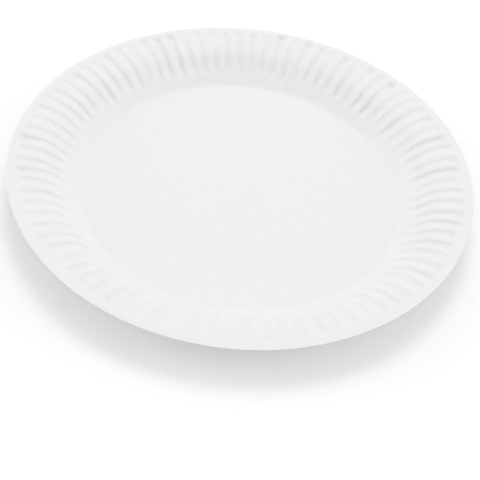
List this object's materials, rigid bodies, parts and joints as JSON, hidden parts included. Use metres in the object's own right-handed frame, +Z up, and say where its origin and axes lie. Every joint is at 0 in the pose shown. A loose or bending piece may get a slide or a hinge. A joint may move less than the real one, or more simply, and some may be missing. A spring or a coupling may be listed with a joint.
{
  "type": "paper plate",
  "caption": "Round disposable plate pressed from thin white board, with a flat floor, a short wall and a broad fluted rim that ends in a plain lip.",
  "frame": {"origin": "middle of the underside of the flat floor, where the plate stands on the table", "axes": "+Z up out of the well, along the plate's axis; +X along a radius through the bottom of a groove"},
  "size_m": [0.18, 0.18, 0.013],
  "materials": {
    "board": "matte uncoated white paperboard, faintly cool"
  },
  "bodies": {
    "root": {"plate": "board"}
  },
  "joints": []
}
